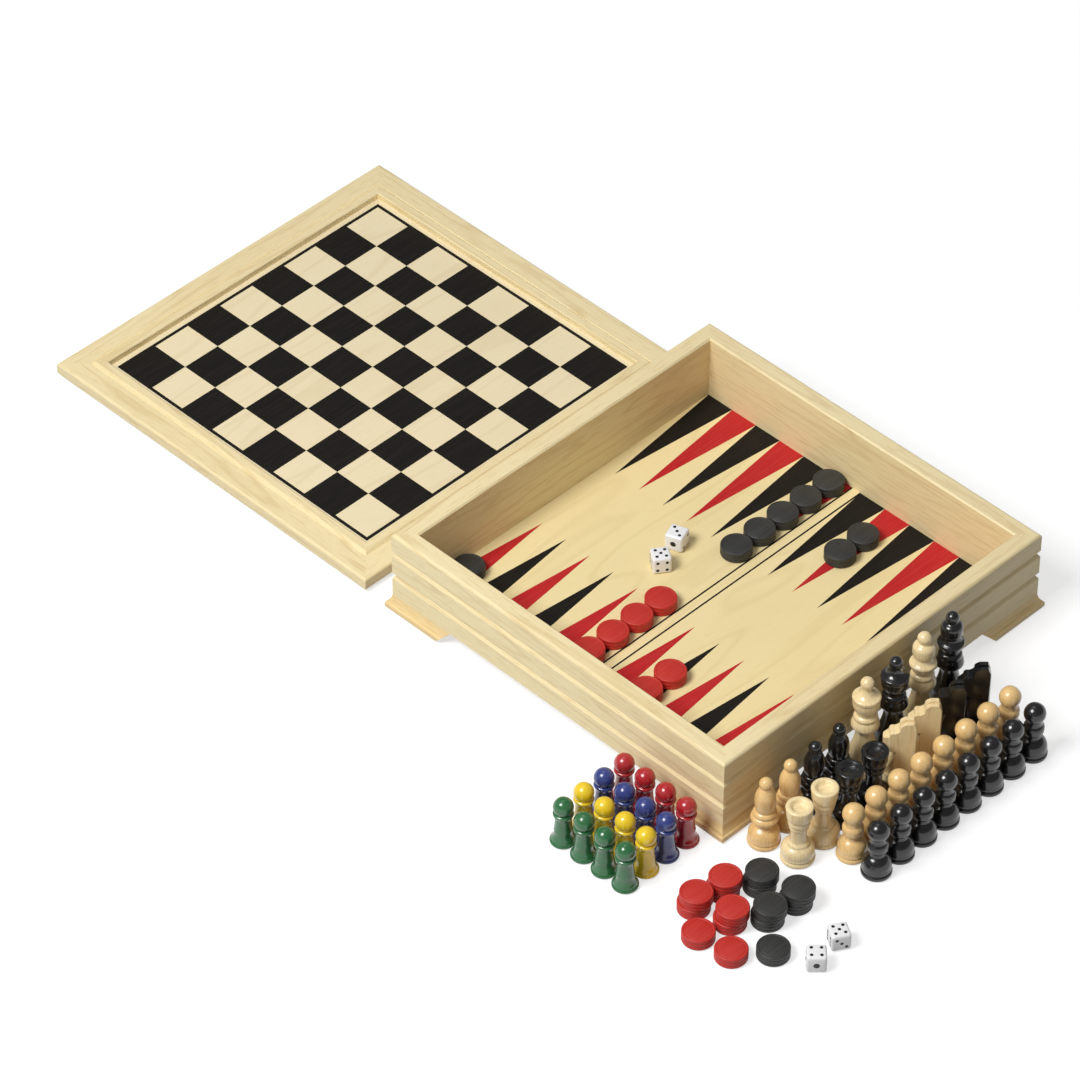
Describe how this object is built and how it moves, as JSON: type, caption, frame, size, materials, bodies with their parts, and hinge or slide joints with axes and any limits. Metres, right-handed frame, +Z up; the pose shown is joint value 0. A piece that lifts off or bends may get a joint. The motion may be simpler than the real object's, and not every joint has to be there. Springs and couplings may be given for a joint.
{
  "type": "games compendium box",
  "caption": "Wooden box with a backgammon floor and a loose lid that is a chessboard on one face and ludo on the other, with turned chessmen, ludo pawns, draughts and dice.",
  "frame": {"origin": "middle of the whole set's bounding box, on the table", "axes": "+Z up, +X to the right along the box's front, +Y from the box towards the lid behind it"},
  "size_m": [0.3567, 0.6942, 0.076],
  "materials": {
    "pine": "satin varnish",
    "plywood": "satin, printed",
    "white_men": "clear gloss varnish",
    "black_men": "gloss black lacquer",
    "ludo_red": "gloss paint",
    "ludo_blue": "gloss paint",
    "ludo_yellow": "gloss paint",
    "ludo_green": "gloss paint",
    "draught_red": "satin stain",
    "draught_black": "satin stain",
    "die_white": "gloss"
  },
  "bodies": {
    "box": {"wall_front": "pine", "wall_right": "pine", "wall_back": "pine", "wall_left": "pine", "base_floor": "plywood", "foot_front_a": "pine", "foot_right_a": "pine", "foot_back_a": "pine", "foot_left_a": "pine", "foot_front_b": "pine", "foot_right_b": "pine", "foot_back_b": "pine", "foot_left_b": "pine"},
    "lid": {"lid_rail_front": "pine", "lid_rail_right": "pine", "lid_rail_back": "pine", "lid_rail_left": "pine", "lid_panel": "plywood"},
    "white_chessmen": {"white_pawns": "white_men", "white_rook_a": "white_men", "white_rook_b": "white_men", "white_knight_a": "white_men", "white_knight_b": "white_men", "white_bishop_a": "white_men", "white_bishop_b": "white_men", "white_queen": "white_men", "white_king": "white_men"},
    "black_chessmen": {"black_pawns": "black_men", "black_rook_a": "black_men", "black_rook_b": "black_men", "black_knight_a": "black_men", "black_knight_b": "black_men", "black_bishop_a": "black_men", "black_bishop_b": "black_men", "black_queen": "black_men", "black_king": "black_men"},
    "ludo_men_red": {"ludo_pawns_red": "ludo_red"},
    "ludo_men_blue": {"ludo_pawns_blue": "ludo_blue"},
    "ludo_men_yellow": {"ludo_pawns_yellow": "ludo_yellow"},
    "ludo_men_green": {"ludo_pawns_green": "ludo_green"},
    "body_draughts_in_play_red": {"draughts_in_play_red": "draught_red"},
    "body_draughts_in_play_black": {"draughts_in_play_black": "draught_black"},
    "body_spare_draughts_red": {"spare_draughts_red": "draught_red"},
    "body_spare_draughts_black": {"spare_draughts_black": "draught_black"},
    "dice_in_play": {"die_in_play_a": "die_white", "die_in_play_b": "die_white"},
    "spare_dice": {"spare_die_a": "die_white", "spare_die_b": "die_white"}
  },
  "joints": [
    {"name": "lid_turn_over", "type": "hinge", "parent": "box", "child": "lid", "pos_m": [0.03675, 0.05561, 0.0354], "axis": [1, 0, 0], "range_deg": [0, 180]},
    {"name": "white_chessmen_lift", "type": "slide", "parent": "box", "child": "white_chessmen", "axis": [0, 0, 1], "range_m": [0, 0.06]},
    {"name": "black_chessmen_lift", "type": "slide", "parent": "box", "child": "black_chessmen", "axis": [0, 0, 1], "range_m": [0, 0.06]},
    {"name": "ludo_men_red_lift", "type": "slide", "parent": "box", "child": "ludo_men_red", "axis": [0, 0, 1], "range_m": [0, 0.06]},
    {"name": "ludo_men_blue_lift", "type": "slide", "parent": "box", "child": "ludo_men_blue", "axis": [0, 0, 1], "range_m": [0, 0.06]},
    {"name": "ludo_men_yellow_lift", "type": "slide", "parent": "box", "child": "ludo_men_yellow", "axis": [0, 0, 1], "range_m": [0, 0.06]},
    {"name": "ludo_men_green_lift", "type": "slide", "parent": "box", "child": "ludo_men_green", "axis": [0, 0, 1], "range_m": [0, 0.06]},
    {"name": "draughts_in_play_red_lift", "type": "slide", "parent": "box", "child": "body_draughts_in_play_red", "axis": [0, 0, 1], "range_m": [0, 0.02]},
    {"name": "draughts_in_play_black_lift", "type": "slide", "parent": "box", "child": "body_draughts_in_play_black", "axis": [0, 0, 1], "range_m": [0, 0.02]},
    {"name": "spare_draughts_red_lift", "type": "slide", "parent": "box", "child": "body_spare_draughts_red", "axis": [0, 0, 1], "range_m": [0, 0.06]},
    {"name": "spare_draughts_black_lift", "type": "slide", "parent": "box", "child": "body_spare_draughts_black", "axis": [0, 0, 1], "range_m": [0, 0.06]},
    {"name": "dice_in_play_lift", "type": "slide", "parent": "box", "child": "dice_in_play", "axis": [0, 0, 1], "range_m": [0, 0.02]},
    {"name": "spare_dice_lift", "type": "slide", "parent": "box", "child": "spare_dice", "axis": [0, 0, 1], "range_m": [0, 0.06]}
  ]
}
